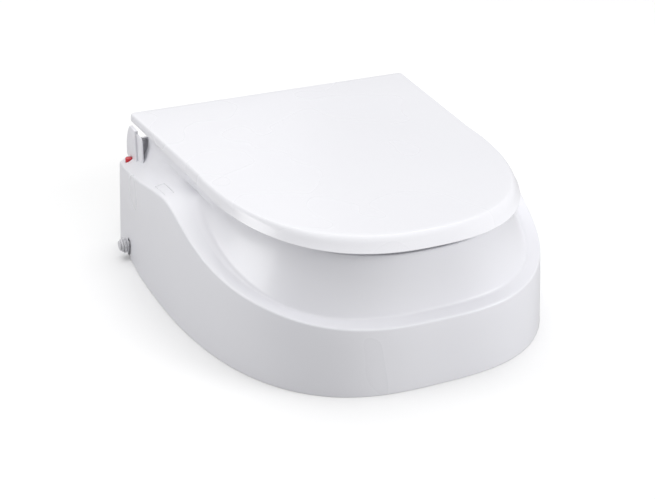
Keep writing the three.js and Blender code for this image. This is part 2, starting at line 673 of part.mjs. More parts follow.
// ---- side clamps -----------------------------------------------------------------------------------------
const JAW_PAD = 4;
const JAW_PLATE = 3;
const jawPadOut = JAW_IN + JAW_PAD;
const jawOut = jawPadOut + GAP + JAW_PLATE;
addPair('jaw_pad', bar('x', JAW_IN, jawPadOut, KNOB_Y, KNOB_Z, 13), 'rubber');
const jawPlate = bar('x', jawPadOut + GAP, jawOut, KNOB_Y, KNOB_Z, 14);
addPair('jaw_plate', jawPlate, 'frame_grey');
const knobOut = KNOB_IN + KNOB_LENGTH;
const SPINDLE_END = KNOB_IN + 0.55 * KNOB_LENGTH;
addPair('clamp_spindle', bar('x', jawOut + GAP, SPINDLE_END, KNOB_Y, KNOB_Z, SPINDLE_R, 20), 'steel');
const LOBES = 6;
const gripIn = KNOB_IN + 0.33 * KNOB_LENGTH;
const gripOut = KNOB_IN + 0.68 * KNOB_LENGTH;
let knob = bar('x', KNOB_IN, gripIn + 0.2, KNOB_Y, KNOB_Z, KNOB_R - 1.5, 24)
  .add(bar('x', gripIn, gripOut, KNOB_Y, KNOB_Z, KNOB_R, 24))
  .add(bar('x', gripOut - 0.2, knobOut - 1, KNOB_Y, KNOB_Z, KNOB_R - 2, 24));
for (let i = 0; i < LOBES; i++) {
  const a = (i / LOBES) * 2 * Math.PI;
  const y = KNOB_Y + (KNOB_R + 1.4) * Math.cos(a);
  const z = KNOB_Z + (KNOB_R + 1.4) * Math.sin(a);
  knob = knob.subtract(bar('x', gripIn - 0.5, gripOut + 0.5, y, z, 2.6, 10));
}
knob = knob.subtract(bar('x', KNOB_IN - 1, SPINDLE_END + GAP, KNOB_Y, KNOB_Z, SPINDLE_R + GAP, 20));
addPair('clamp_knob', knob, 'knob_white');
addPair('knob_cap', bar('x', knobOut - 1 + GAP, knobOut + 1, KNOB_Y, KNOB_Z, KNOB_R - 4, 24), 'frame_grey');

// ---- release buttons and latches -------------------------------------------------------------------------
const TRAVEL = 5;
const BUTTON_BOTTOM = 100;
const button = bar('z', BUTTON_BOTTOM, BUTTON_TOP - 1, BUTTON_X, BUTTON_Y, BUTTON_R, 20)
  .add(bar('z', BUTTON_TOP - 2, BUTTON_TOP, BUTTON_X, BUTTON_Y, BUTTON_R - 1, 20));
addPair('release_button', button, 'red');

// The foot of the rod and the pawl meet on faces at 45 degrees: the rod goes down as the pawl moves back.
const FOOT_TIP = 17;
const FOOT_Y0 = BUTTON_Y - 6;
const FOOT_Y1 = BUTTON_Y + 6;
const footTop = 42;
const foot = sidePlate([
  [FOOT_Y0, FOOT_TIP],
  [FOOT_Y1, FOOT_TIP + FOOT_Y1 - FOOT_Y0],
  [FOOT_Y1, footTop],
  [FOOT_Y0, footTop],
], BUTTON_X - 4, BUTTON_X + 4);
const rod = foot.add(bar('z', footTop - 1, BUTTON_BOTTOM - GAP, BUTTON_X, BUTTON_Y, ROD_R, 16));
addPair('push_rod', rod, 'frame_grey');
const RAMP_AIR = 0.7;
const PAWL_BAR_TOP = 11;
const PAWL_TIP = PLATE_BACK + GAP;
const PAWL_BACK = -10;
const pawlRampTop = PAWL_BACK - 2 - FOOT_Y0 + FOOT_TIP - RAMP_AIR;
const pawl = sidePlate([
  [PAWL_TIP, PAWL_BOTTOM],
  [PAWL_BACK, PAWL_BOTTOM],
  [PAWL_BACK, pawlRampTop],
  [PAWL_BACK - 2, pawlRampTop],
  [FOOT_Y0 - (FOOT_TIP - RAMP_AIR - PAWL_BAR_TOP), PAWL_BAR_TOP],
  [PAWL_TIP, PAWL_BAR_TOP],
], PAWL_IN, PAWL_OUT);
addPair('pawl', pawl, 'steel');

// Return spring: a coil round the rod between the shelf and the button.
class Coil extends THREE.Curve {
  getPoint(t) {
    const a = t * COIL_TURNS * 2 * Math.PI;
    return new THREE.Vector3(
      BUTTON_X + COIL_R * Math.cos(a),
      BUTTON_Y + COIL_R * Math.sin(a),
      coilLow + (coilHigh - coilLow) * t,
    );
  }
}
const COIL_TURNS = 3;
const COIL_R = 3.7;
const WIRE_R = 0.45;
const coilLow = SHELF_Z + SHELF_THICK + GAP + WIRE_R;
const coilHigh = BUTTON_BOTTOM - GAP - WIRE_R;
const wire = new THREE.Shape();
wire.absarc(0, 0, WIRE_R, 0, 2 * Math.PI, false);
const coilGeometry = new THREE.ExtrudeGeometry(wire, {
  steps: COIL_TURNS * 10,
  bevelEnabled: false,
  curveSegments: 2,
  extrudePath: new Coil(),
});
addPair('return_spring', solid(coilGeometry), 'steel');

export default group;
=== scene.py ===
# %% [markdown]
# # A raised toilet seat
# This seat sits on top of a toilet bowl and lifts the user by 60 to 150 mm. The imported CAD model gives
# every piece its place, size and joint. Blender adds the fine surface: rounded edges, smooth sweeps, glossy
# moulded plastic, rubber and steel. The file starts by loading that model, so every new piece can be
# measured against it.

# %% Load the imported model
import math

import bmesh
import bpy
from mathutils import Matrix, Vector


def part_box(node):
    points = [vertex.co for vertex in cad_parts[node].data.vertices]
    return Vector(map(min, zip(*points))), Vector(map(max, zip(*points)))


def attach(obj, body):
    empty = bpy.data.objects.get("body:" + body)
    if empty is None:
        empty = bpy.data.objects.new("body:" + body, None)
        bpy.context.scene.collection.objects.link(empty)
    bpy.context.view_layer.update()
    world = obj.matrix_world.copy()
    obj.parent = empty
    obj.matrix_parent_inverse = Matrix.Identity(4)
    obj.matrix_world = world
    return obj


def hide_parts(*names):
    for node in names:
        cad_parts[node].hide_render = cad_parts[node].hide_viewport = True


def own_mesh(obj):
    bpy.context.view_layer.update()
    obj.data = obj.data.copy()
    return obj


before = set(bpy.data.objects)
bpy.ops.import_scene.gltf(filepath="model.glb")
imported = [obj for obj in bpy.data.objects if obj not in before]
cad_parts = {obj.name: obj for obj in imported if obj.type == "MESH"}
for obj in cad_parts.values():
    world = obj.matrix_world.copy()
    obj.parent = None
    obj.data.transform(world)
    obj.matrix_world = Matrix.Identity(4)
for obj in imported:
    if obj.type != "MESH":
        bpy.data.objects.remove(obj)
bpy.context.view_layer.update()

# %% [markdown]
# ## Where things are
# All moulded surfaces follow two outlines in plan: the lid's D shape and the shell's wider D shape. Their
# overall sizes are read from the CAD pieces. The finer ones repeat the CAD's own values, so a change to one
# there has to be made here as well. Lengths below are in millimetres from the lid's straight back edge,
# because that is the natural datum for the hinge line, and `at` turns such a place into metres in the
# model's own frame.

# %% Datum and conversion
MM = 0.001
lid_low, lid_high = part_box("lid")
shell_low, shell_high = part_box("shell")
BASE_BACK = -1.2
datum_y = shell_high.y / MM - BASE_BACK


def at(x, y, z):
    return Vector((x * MM, (y + datum_y) * MM, z * MM))


def size_mm(node):
    low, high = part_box(node)
    return [(low[i] / MM, high[i] / MM) for i in range(3)]


LID_REAR_HALF = lid_high.x / MM
LID_RIM_LENGTH = datum_y - lid_low.y / MM
LID_STRAIGHT, LID_TOP_LENGTH = 201.3, 434.3
LID_RIM_HALF, LID_TOP_HALF = 174.2, 171.8
LID_RIM_ROUND, LID_TOP_ROUND = 2.51, 2.41
LID_PLATE = 4
RING_LENGTH, RING_HALF, RING_REAR_HALF = 437.0, 170.9, 185
RING_STRAIGHT, RING_ROUND, RISER_INSET = 193, 2.373, 1.9
FOOT_LENGTH, FOOT_HALF, FOOT_REAR_HALF, FOOT_ROUND = 443, 180, 186, 2.95
BASE_STRAIGHT, BASE_REAR_HALF, BASE_ROUND = 108.4, 208.5, 2.825
LID_TOP = lid_high.z / MM
BASE_HALF = shell_high.x / MM
BASE_LENGTH = (shell_high.y - shell_low.y) / MM
DECK_TOP = 142.0
print("lid half width, rim length, top:", round(LID_REAR_HALF, 1), round(LID_RIM_LENGTH, 1), round(LID_TOP, 1))
print("shell half width, length, deck:", round(BASE_HALF, 1), round(BASE_LENGTH, 1), round(DECK_TOP, 1))

# %% [markdown]
# ## The D outlines
# A D outline has nearly straight sides, a straight back and a round front. The front is a superellipse: a
# power of 2 would be an ellipse, and a higher power fills the corners out. Blender has no superellipse, so
# a ring of vertices made by `create_circle` is moved onto the curve. `half_width` gives the outline's half
# width at a distance y from the back, and the ring's vertices are then shared out along it.

# %% A D outline as a ring of points
SIDE_STEPS = 8
CORNER_STEPS = 6
BACK_STEPS = 10
FRONT_STEPS = 120
COUNT = 2 * (SIDE_STEPS + CORNER_STEPS) + BACK_STEPS + FRONT_STEPS


def half_width(y, d):
    turn = d["back"] - d["straight"]
    if y >= turn:
        return d["half"] + (d["rear_half"] - d["half"]) * (y - turn) / d["straight"]
    t = min(1.0, (turn - y) / (d["length"] - d["straight"]))
    return d["half"] * (1 - t ** d["power"]) ** (1 / d["power"])


def d_ring(d):
    turn = d["back"] - d["straight"]
    depth = d["length"] - d["straight"]
    corner = d["corner"]
    right = []
    for i in range(SIDE_STEPS):
        y = turn + (d["straight"] - corner) * i / SIDE_STEPS
        right.append((half_width(y, d), y))
    for i in range(CORNER_STEPS + 1):
        a = i / CORNER_STEPS * math.pi / 2
        across = d["rear_half"] - corner + corner * math.cos(a)
        right.append((across, d["back"] - corner + corner * math.sin(a)))
    back_half = right[-1][0]
    back = [(back_half * (1 - 2 * i / BACK_STEPS), d["back"]) for i in range(1, BACK_STEPS)]
    left = [(-x, y) for x, y in reversed(right)]
    front = []
    for i in range(1, FRONT_STEPS):
        a = math.pi + i / FRONT_STEPS * math.pi
        c, s = math.cos(a), abs(math.sin(a))
        across = math.copysign(abs(c) ** (2 / d["power"]), c)
        front.append((across * d["half"], turn - depth * s ** (2 / d["power"])))
    return right + back + left + front


def lid_outline(up, inset):
    """The lid between its rim (up = 0) and its flat top (up = 1): the rim is wider and longer."""
    mix = lambda rim, top: rim + (top - rim) * up
    return dict(back=-inset, straight=LID_STRAIGHT - inset,
                length=mix(LID_RIM_LENGTH, LID_TOP_LENGTH) - 2 * inset,
                half=mix(LID_RIM_HALF, LID_TOP_HALF) - inset, rear_half=LID_REAR_HALF - inset,
                power=mix(LID_RIM_ROUND, LID_TOP_ROUND), corner=max(1.0, 6 - inset))


DRAFT = 0.0557


def base_outline(z, inset):
    lean = DRAFT * z + inset
    return dict(back=BASE_BACK - inset, straight=BASE_STRAIGHT - inset,
                length=BASE_LENGTH - lean - inset, half=BASE_HALF - lean,
                rear_half=BASE_REAR_HALF - lean, power=BASE_ROUND, corner=max(2.0, 5 - inset))


def foot_outline(inset):
    return dict(back=BASE_BACK - inset, straight=RING_STRAIGHT + BASE_BACK - inset,
                length=FOOT_LENGTH + BASE_BACK - 2 * inset, half=FOOT_HALF - inset,
                rear_half=FOOT_REAR_HALF - inset, power=FOOT_ROUND, corner=5)


def riser_outline(inset):
    inner = RISER_INSET + inset
    return dict(back=BASE_BACK - inset, straight=RING_STRAIGHT + BASE_BACK - inset,
                length=RING_LENGTH + BASE_BACK - RISER_INSET - 2 * inset, half=RING_HALF - inner,
                rear_half=RING_REAR_HALF - inner, power=RING_ROUND, corner=5)


print("points round each outline:", len(d_ring(lid_outline(0, 0))), "of", COUNT)

# %% [markdown]
# ## Lofting by extruding a ring
# Moulded plastic is one skin that runs from edge to edge, so each moulding is grown as one skin: a ring of
# edges is extruded again and again, and each new ring is placed on the next station of the cross-section. A
# loft made this way has clean four-sided faces that shade smoothly. Every vertex remembers its place on the
# outline in an integer layer, which survives the extrusion.

# %% The loft helper
def loft(name, stations, close_first=True, close_last=True):
    bm = bmesh.new()
    place = bm.verts.layers.int.new("place")
    bmesh.ops.create_circle(bm, cap_ends=False, radius=1, segments=len(stations[0]))
    bm.verts.ensure_lookup_table()
    ordered = sorted(bm.verts, key=lambda v: math.atan2(v.co.y, v.co.x) % (2 * math.pi))
    for i, v in enumerate(ordered):
        v[place] = i
        v.co = stations[0][i]
    edges = list(bm.edges)
    if close_first:
        bmesh.ops.edgeloop_fill(bm, edges=edges)
    for station in stations[1:]:
        grown = bmesh.ops.extrude_edge_only(bm, edges=edges)["geom"]
        new = {g for g in grown if isinstance(g, bmesh.types.BMVert)}
        for v in new:
            v.co = station[v[place]]
        edges = [g for g in grown if isinstance(g, bmesh.types.BMEdge) and all(v in new for v in g.verts)]
    if close_last:
        bmesh.ops.edgeloop_fill(bm, edges=edges)
    bmesh.ops.remove_doubles(bm, verts=bm.verts, dist=0.00001)
    bmesh.ops.recalc_face_normals(bm, faces=bm.faces)
    return finish_mesh(name, bm)


SHARP_ANGLE = 35


def finish_mesh(name, bm):
    mesh = bpy.data.meshes.new(name)
    bm.to_mesh(mesh)
    bm.free()
    piece = bpy.data.objects.new(name, mesh)
    bpy.context.scene.collection.objects.link(piece)
    mesh.shade_smooth()
    mesh.set_sharp_from_angle(angle=math.radians(SHARP_ANGLE))
    return piece


def cut(target, cutter, operation="DIFFERENCE"):
    boolean = target.modifiers.new("cut", "BOOLEAN")
    boolean.solver = "EXACT"
    boolean.operation = operation
    boolean.object = cutter
    graph = bpy.context.evaluated_depsgraph_get()
    mesh = bpy.data.meshes.new_from_object(target.evaluated_get(graph))
    target.modifiers.clear()
    target.data = mesh
    bpy.data.objects.remove(cutter)
    return target


def block(x, y, z, name="cutter"):
    bm = bmesh.new()
    bmesh.ops.create_cube(bm, size=1)
    low, high = at(x[0], y[0], z[0]), at(x[1], y[1], z[1])
    bmesh.ops.scale(bm, vec=high - low, verts=bm.verts)
    bmesh.ops.translate(bm, vec=(low + high) / 2, verts=bm.verts)
    return finish_mesh(name, bm)


def turned(name, profile, centre, axis, steps=64):
    """A closed turned piece: profile is a list of (radius, height along the axis), from pole to pole."""
    bm = bmesh.new()
    points = [bm.verts.new((r * MM, 0, h * MM)) for r, h in profile]
    edges = [bm.edges.new(pair) for pair in zip(points, points[1:])]
    bmesh.ops.spin(bm, geom=points + edges, cent=(0, 0, 0), axis=(0, 0, 1), dvec=(0, 0, 0),
                   angle=2 * math.pi, steps=steps, use_merge=True, use_duplicate=False)
    bmesh.ops.remove_doubles(bm, verts=bm.verts, dist=0.000005)
    bmesh.ops.recalc_face_normals(bm, faces=bm.faces)
    turn = Vector((0, 0, 1)).rotation_difference(Vector(axis)).to_matrix().to_4x4()
    bmesh.ops.transform(bm, matrix=Matrix.Translation(centre) @ turn, verts=bm.verts)
    return finish_mesh(name, bm)


def mirror_copy(piece, name):
    """The other hand of a piece: its mesh mirrored across the plane of symmetry."""
    bm = bmesh.new()
    bm.from_mesh(piece.data)
    bmesh.ops.scale(bm, vec=(-1, 1, 1), verts=bm.verts)
    bmesh.ops.reverse_faces(bm, faces=bm.faces)
    return finish_mesh(name, bm)


def faces_of(piece):
    return len(piece.data.polygons)


# %% [markdown]
# ## Materials: glossy moulded plastic
# The shell, seat and lid are white thermoplastic from a polished mould. Up close such a skin isn't
# perfectly even: the gloss varies a little where the melt cooled, there is a very faint waviness, and
# handling leaves slightly duller patches. A noise texture on Object coordinates changes the roughness, a
# second and finer one drives a very weak bump, and a third and broader one tints the white by a hair.
# Object coordinates keep the pattern fixed on the piece when it swings.

# %% Plastic material
def noise_node(nodes, links, coords, scale, detail=3.0):
    noise = nodes.new("ShaderNodeTexNoise")
    noise.inputs["Scale"].default_value = scale
    noise.inputs["Detail"].default_value = detail
    links.new(coords.outputs["Object"], noise.inputs["Vector"])
    return noise


def ramp_value(nodes, links, source, low, high):
    spread = nodes.new("ShaderNodeMapRange")
    spread.interpolation_type = "SMOOTHSTEP"
    spread.inputs["From Min"].default_value = 0.2
    spread.inputs["From Max"].default_value = 0.8
    spread.inputs["To Min"].default_value = low
    spread.inputs["To Max"].default_value = high
    links.new(source, spread.inputs["Value"])
    return spread.outputs["Result"]


def plastic(name, colour, tint, gloss, wave=0.04, grain=0.0, grain_scale=900.0, coat=0.0):
    material = bpy.data.materials.new(name)
    material.use_nodes = True
    nodes, links = material.node_tree.nodes, material.node_tree.links
    shader = nodes["Principled BSDF"]
    coords = nodes.new("ShaderNodeTexCoord")
    shader.inputs["IOR"].default_value = 1.5
    shader.inputs["Coat Weight"].default_value = coat
    shader.inputs["Coat Roughness"].default_value = 0.12
    patches = noise_node(nodes, links, coords, 9.0, 1.0)
    links.new(ramp_value(nodes, links, patches.outputs["Fac"], gloss[0], gloss[1]), shader.inputs["Roughness"])
    mix = nodes.new("ShaderNodeMix")
    mix.data_type = "RGBA"
    mix.inputs["A"].default_value = (*colour, 1)
    mix.inputs["B"].default_value = (*tint, 1)
    clouds = noise_node(nodes, links, coords, 5.0, 2.0)
    links.new(ramp_value(nodes, links, clouds.outputs["Fac"], 0.0, 1.0), mix.inputs["Factor"])
    links.new(mix.outputs["Result"], shader.inputs["Base Color"])
    wavy = noise_node(nodes, links, coords, 22.0, 1.0)
    bump = nodes.new("ShaderNodeBump")
    bump.inputs["Strength"].default_value = wave
    bump.inputs["Distance"].default_value = 0.0006
    links.new(wavy.outputs["Fac"], bump.inputs["Height"])
    last = bump
    if grain:
        fine = noise_node(nodes, links, coords, grain_scale, 2.0)
        texture = nodes.new("ShaderNodeBump")
        texture.inputs["Strength"].default_value = grain
        texture.inputs["Distance"].default_value = 0.0002
        links.new(fine.outputs["Fac"], texture.inputs["Height"])
        links.new(bump.outputs["Normal"], texture.inputs["Normal"])
        last = texture
    links.new(last.outputs["Normal"], shader.inputs["Normal"])
    return material


white_gloss = plastic("white_gloss_moulding", (0.79, 0.79, 0.825), (0.765, 0.765, 0.805), (0.27, 0.32), 0.02,
                      coat=0.1)
lid_gloss = plastic("lid_gloss", (0.80, 0.80, 0.832), (0.78, 0.78, 0.815), (0.25, 0.30), 0.02, coat=0.1)
seat_gloss = plastic("seat_gloss", (0.77, 0.77, 0.79), (0.75, 0.75, 0.775), (0.27, 0.33), 0.02, coat=0.1)
frame_plastic = plastic("frame_grey_plastic", (0.44, 0.46, 0.48), (0.40, 0.42, 0.44), (0.42, 0.58), 0.08,
                        0.35, 700)
knob_plastic = plastic("knob_plastic", (0.68, 0.68, 0.70), (0.62, 0.62, 0.645), (0.30, 0.42), 0.06, 0.15, 900)
button_red = plastic("button_red", (0.62, 0.006, 0.022), (0.52, 0.004, 0.018), (0.20, 0.32), 0.05, coat=0.5)
PLASTIC_ENDINGS = ("gloss", "plastic", "red", "moulding")
print("plastics:", [m.name for m in bpy.data.materials if m.name.endswith(PLASTIC_ENDINGS)])

# %% [markdown]
# ## Materials: rubber and steel
# The pads that touch the porcelain are dark rubber with a fine matt grain. The pins, spindles and screws
# are steel: their roughness is streaked along the bar, so a noise is stretched by a Mapping node before it
# is read.

# %% Rubber and steel materials
def rubber(name, colour, tint):
    material = plastic(name, colour, tint, (0.62, 0.8), 0.15, 0.6, 1400)
    material.node_tree.nodes["Principled BSDF"].inputs["IOR"].default_value = 1.45
    return material


def steel(name, colour, rough):
    material = bpy.data.materials.new(name)
    material.use_nodes = True
    nodes, links = material.node_tree.nodes, material.node_tree.links
    shader = nodes["Principled BSDF"]
    shader.inputs["Metallic"].default_value = 1.0
    shader.inputs["Base Color"].default_value = (*colour, 1)
    coords = nodes.new("ShaderNodeTexCoord")
    stretch = nodes.new("ShaderNodeMapping")
    stretch.inputs["Scale"].default_value = (12, 260, 260)
    links.new(coords.outputs["Object"], stretch.inputs["Vector"])
    streak = nodes.new("ShaderNodeTexNoise")
    streak.inputs["Scale"].default_value = 6.0
    streak.inputs["Detail"].default_value = 5.0
    links.new(stretch.outputs["Vector"], streak.inputs["Vector"])
    links.new(ramp_value(nodes, links, streak.outputs["Fac"], rough[0], rough[1]), shader.inputs["Roughness"])
    bump = nodes.new("ShaderNodeBump")
    bump.inputs["Strength"].default_value = 0.12
    bump.inputs["Distance"].default_value = 0.0001
    links.new(streak.outputs["Fac"], bump.inputs["Height"])
    links.new(bump.outputs["Normal"], shader.inputs["Normal"])
    return material


pad_rubber = rubber("pad_rubber", (0.035, 0.035, 0.038), (0.055, 0.055, 0.06))
buffer_rubber = rubber("buffer_rubber", (0.30, 0.31, 0.33), (0.26, 0.27, 0.29))
pin_steel = steel("pin_steel", (0.62, 0.62, 0.64), (0.22, 0.42))
print("steel and rubber:", pad_rubber.name, buffer_rubber.name, pin_steel.name)

# %% [markdown]
# ## The shell's swept edge
# Seen from the side, the shell's outer wall climbs from the back to a crest beside the seat, then sweeps
# down in an S to a low ledge at the front. One formula gives the edge's height at every y, and a second the
# small inward rise of the shoulder's top near the hinges. They are the same curves as the CAD shell's, so
# the covers and towers that stand on it still fit. The riser ends in a raised rim that reaches up under the
# lid and falls away at the front.

# %% Height of the swept edge
CREST_Y, CREST_Z = -194.0, 135.8
SHOULDER_REAR, LEDGE_Z, LEDGE_CLIMB = 105.4, 74.5, 38.6
BASE_FRONT = BASE_BACK - BASE_LENGTH


def edge_height(y):
    if y > CREST_Y:
        t = (BASE_BACK - y) / (BASE_BACK - CREST_Y)
        return SHOULDER_REAR + (CREST_Z - SHOULDER_REAR) * (0.42 * t + 1.6 * t ** 2 - 1.02 * t ** 3)
    t = min(1.0, (CREST_Y - y) / (CREST_Y - BASE_FRONT))
    sweep = 1 - math.exp(-((t / 0.264) ** 1.726))
    return CREST_Z + (LEDGE_Z + LEDGE_CLIMB * (1 - t) - CREST_Z) * sweep


def shoulder_rise(y):
    t = min(1.0, max(0.0, (y + 250) / 200))
    return 9 * t * t * (3 - 2 * t)


SKIRT_REAR, SKIRT_FRONT = 9.7, 14.4
RIM_AIR, RIM_FALL, RIM_EVEN = 1.5, 7.3, 200


def lid_bottom(y):
    return LID_TOP - SKIRT_REAR - (SKIRT_FRONT - SKIRT_REAR) * (-y / LID_RIM_LENGTH)


def raised_rim(y):
    """The rim keeps an even air to the lid at the back and falls away from it towards the front."""
    t = min(1.0, max(0.0, (-y - RIM_EVEN) / (RING_LENGTH - RIM_EVEN)))
    return lid_bottom(y) - RIM_AIR - RIM_FALL * t * t


print("raised rim at back and front:", round(raised_rim(0), 1), round(raised_rim(-RING_LENGTH), 1))
print("edge height at back, crest and front:",
      [round(edge_height(y), 1) for y in (BASE_BACK, CREST_Y, BASE_FRONT)])

# %% [markdown]
# ## The shell's cross-section
# At each point round the outline the section is the same string of stations: up the drafted wall, over a
# small radius, across the ledge, round a hollow fillet, up the riser, over its raised rim, and in across
# the deck. The points of the inner curves are matched to the outer wall by how far along the shell they
# lie, so the ledge is always crossed squarely. The hollow corner is rounded with a quadratic curve.

# %% Stations of the shell
def matched(outline, master_ring, master):
    """Points of outline that lie as far along it as the master ring's points lie along the master."""
    front = outline["back"] - outline["length"]
    master_front = master["back"] - master["length"]
    ring = []
    for x, y in master_ring:
        s = (y - master["back"]) / (master_front - master["back"])
        wide = half_width(y, master)
        q = 0.0 if wide < 1e-6 else max(-1.0, min(1.0, x / wide))
        here = outline["back"] + s * (front - outline["back"])
        ring.append((q * half_width(here, outline), here))
    return ring


def between(a, b, t):
    return tuple(p + (q - p) * t for p, q in zip(a, b))


WALL_LEVEL = 90
RIM_WALL, RIM_INNER_EDGE, DECK_EDGE = 3.5, 3.0, 12
RIM_SECTION = [(0, 1.2), (0.25, 0.35), (1.0, 0.0), (2.6, 0.0), (3.3, 0.35), (RIM_WALL, 1.0)]


def front_softness(y):
    """How much rounder the rim's edge is: 1 at the sides, growing to 2.2 at the front."""
    return 1 + 1.2 * min(1.0, max(0.0, (-y - 300) / 130))


def shell_stations(inset):
    wall = base_outline(WALL_LEVEL, inset)
    master = d_ring(wall)
    tall = [edge_height(y) - inset for x, y in master]
    foot = matched(foot_outline(inset), master, wall)
    riser = matched(riser_outline(inset), master, wall)
    rows = []

    def lean(z):
        """The outer ring, drawn in by the draft at each point's height."""
        ring = []
        for (x, y), height in zip(master, z):
            drawn = DRAFT * (height - WALL_LEVEL)
            ring.append((x * (1 - drawn / wall["half"]),
                         wall["back"] + (y - wall["back"]) * (1 - drawn / wall["length"])))
        return ring

    edge_r = 2.6 if inset == 0 else 0.6
    for level in (0.0, 0.04, 0.35, 0.7):
        z = [(-8 if inset else 0) if level == 0 else (h - edge_r) * level for h in tall]
        rows.append([(x, y, z[i]) for i, (x, y) in enumerate(lean(z))])
    top = lean(tall)
    for step in range(5):
        a = step / 4 * math.pi / 2
        row = []
        for i, (x, y) in enumerate(top):
            foot_x, foot_y = foot[i]
            run = max(0.01, math.hypot(foot_x - x, foot_y - y))
            t = edge_r * (1 - math.cos(a)) / run if run > 4 else 0
            row.append((x + (foot_x - x) * t, y + (foot_y - y) * t, tall[i] - edge_r * (1 - math.sin(a))))
        rows.append(row)
    corner = []
    for i, (x, y) in enumerate(foot):
        corner.append((x, y, edge_height(y) + shoulder_rise(y) - inset))
    shoulder = rows[-1]
    peak = [(riser[i][0], riser[i][1], DECK_TOP - 2.2 - inset) for i in range(COUNT)]
    for t in (0.35, 0.6):
        rows.append([between(shoulder[i], corner[i], t) for i in range(COUNT)])
    for step in range(6):
        u = step / 5
        row = []
        for i in range(COUNT):
            y = corner[i][1]
            soft = min(1.0, max(0.0, (y + 380) / 140))
            reach = 3.0 + 7.0 * soft
            ledge_run = math.dist(shoulder[i], corner[i])
            rise_run = math.dist(corner[i], peak[i])
            a = between(corner[i], shoulder[i], min(0.38, reach / max(ledge_run, 0.01)))
            b = between(corner[i], peak[i], min(0.5, reach / max(rise_run, 0.01)))
            row.append(between(between(a, corner[i], u), between(corner[i], b, u), u))
        rows.append(row)
    rows.append([between(rows[-1][i], peak[i], 0.5) for i in range(COUNT)])
    if inset:
        rows.append(peak)
        return [[at(*p) for p in row] for row in rows]
    rows.append(peak)
    for step_in, drop in RIM_SECTION:
        row = []
        for x, y in matched(riser_outline(step_in), master, wall):
            z = raised_rim(y) - drop * front_softness(y)
            row.append((x, y, max(DECK_TOP + 0.1, z) if step_in > RIM_INNER_EDGE else z))
        rows.append(row)
    for step_in in (RIM_WALL, DECK_EDGE):
        rows.append([(x, y, DECK_TOP) for x, y in matched(riser_outline(step_in), master, wall)])
    return [[at(*p) for p in row] for row in rows]


outer_rows = shell_stations(0)
inner_rows = shell_stations(3.0)
shell = loft("shell_moulding", outer_rows)
shell_inside = loft("shell_inside", inner_rows)
print("shell skins:", faces_of(shell), faces_of(shell_inside), "faces")

# %% [markdown]
# ## Small makers used from here on
# A prism is a drawn profile pushed along X, the way a mould's slide would shape it. Only its sharp edges
# are bevelled: the shallow ones between the steps of an arc have to stay soft. An oval ring serves the
# apertures. `dress` gives a finished piece its material and its body, and hides the CAD nodes it stands
# for.

# %% Prism, oval, copy and dress
def prism(profile, x0, x1, name="cutter", round_off=0.0):
    """A profile in the Y-Z plane, run along X."""
    bm = bmesh.new()
    face = bm.faces.new([bm.verts.new(at(x0, y, z)) for y, z in profile])
    grown = bmesh.ops.extrude_face_region(bm, geom=[face])["geom"]
    moved = [g for g in grown if isinstance(g, bmesh.types.BMVert)]
    bmesh.ops.translate(bm, vec=((x1 - x0) * MM, 0, 0), verts=moved)
    bmesh.ops.recalc_face_normals(bm, faces=bm.faces)
    if round_off:
        sharp = [e for e in bm.edges if e.calc_face_angle(0) > math.radians(25)]
        bmesh.ops.bevel(bm, geom=sharp, offset=round_off * MM, affect="EDGES", segments=3, profile=0.5,
                        material=-1)
    return finish_mesh(name, bm)


def oval_point(a, half, back, front, power):
    middle, reach = (back + front) / 2, (back - front) / 2
    c, s = math.cos(a), math.sin(a)
    across = math.copysign(abs(c) ** (2 / power), c)
    along = math.copysign(abs(s) ** (2 / power), s)
    return across * half, middle + along * reach


def copy_of(piece, name):
    twin = bpy.data.objects.new(name, piece.data.copy())
    bpy.context.scene.collection.objects.link(twin)
    return twin


def dress(piece, material, body, slot, *nodes, angle=35):
    piece.data.materials.clear()
    piece.data.materials.append(material)
    piece.data.shade_smooth()
    piece.data.set_sharp_from_angle(angle=math.radians(angle))
    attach(piece, body)
    if nodes:
        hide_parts(*nodes)
    return piece


def joined(name, pieces):
    """Several bodies kept in one piece."""
    bm = bmesh.new()
    for piece in pieces:
        bm.from_mesh(piece.data)
        bpy.data.objects.remove(piece)
    return finish_mesh(name, bm)


HOLE = dict(half=106, back=-112, front=-368, power=2.2)


def hole_grown(grow):
    return (HOLE["half"] + grow, HOLE["back"] + grow, HOLE["front"] - grow, HOLE["power"])


print("aperture, mm:", 2 * HOLE["half"], "by", HOLE["back"] - HOLE["front"])

# %% [markdown]
# ## Hollowing and opening the shell
# A moulding has walls of one thickness, so the hollow is the same loft moved inwards by the wall. Across
# the back a bay is left open for the lid's swing, with a front wall that leans forward, and the hollow
# stays a wall's thickness away from it. Cutting with Boolean modifiers is the plain way: the bay leaves the
# outer body, a bigger copy of it leaves the hollow, and then the hollow leaves the outer body.

# %% Hinge bay, hollow and openings
BAY_FLOOR, BAY_TOP, BAY_HALF = 90.0, 165.0, 186.0
BAY_FRONT, BAY_LEAN = -37, 21.5 / 70


def hinge_bay(grow):
    front = lambda z: BAY_FRONT - BAY_LEAN * (z - BAY_FLOOR) - 1.1 * grow
    low = BAY_FLOOR - grow
    profile = [(8, low), (8, BAY_TOP), (front(BAY_TOP), BAY_TOP), (front(low + grow), low)]
    return prism(profile, -BAY_HALF - grow, BAY_HALF + grow)


cut(shell, hinge_bay(0))
cut(shell_inside, hinge_bay(3))
guide_limit = loft("guide_limit", shell_stations(1.5))
cut(shell, shell_inside)
cut(shell, block((-176, 176), (-20, 10), (-10, 83)))
deck_hole = [at(*oval_point(2 * math.pi * i / 96, *hole_grown(12)), 0) for i in range(96)]
lifted = lambda ring, z: [Vector((p.x, p.y, z * MM)) for p in ring]
cut(shell, loft("cutter", [lifted(deck_hole, 115), lifted(deck_hole, 160)]))
print("shell after hollowing:", faces_of(shell), "faces")

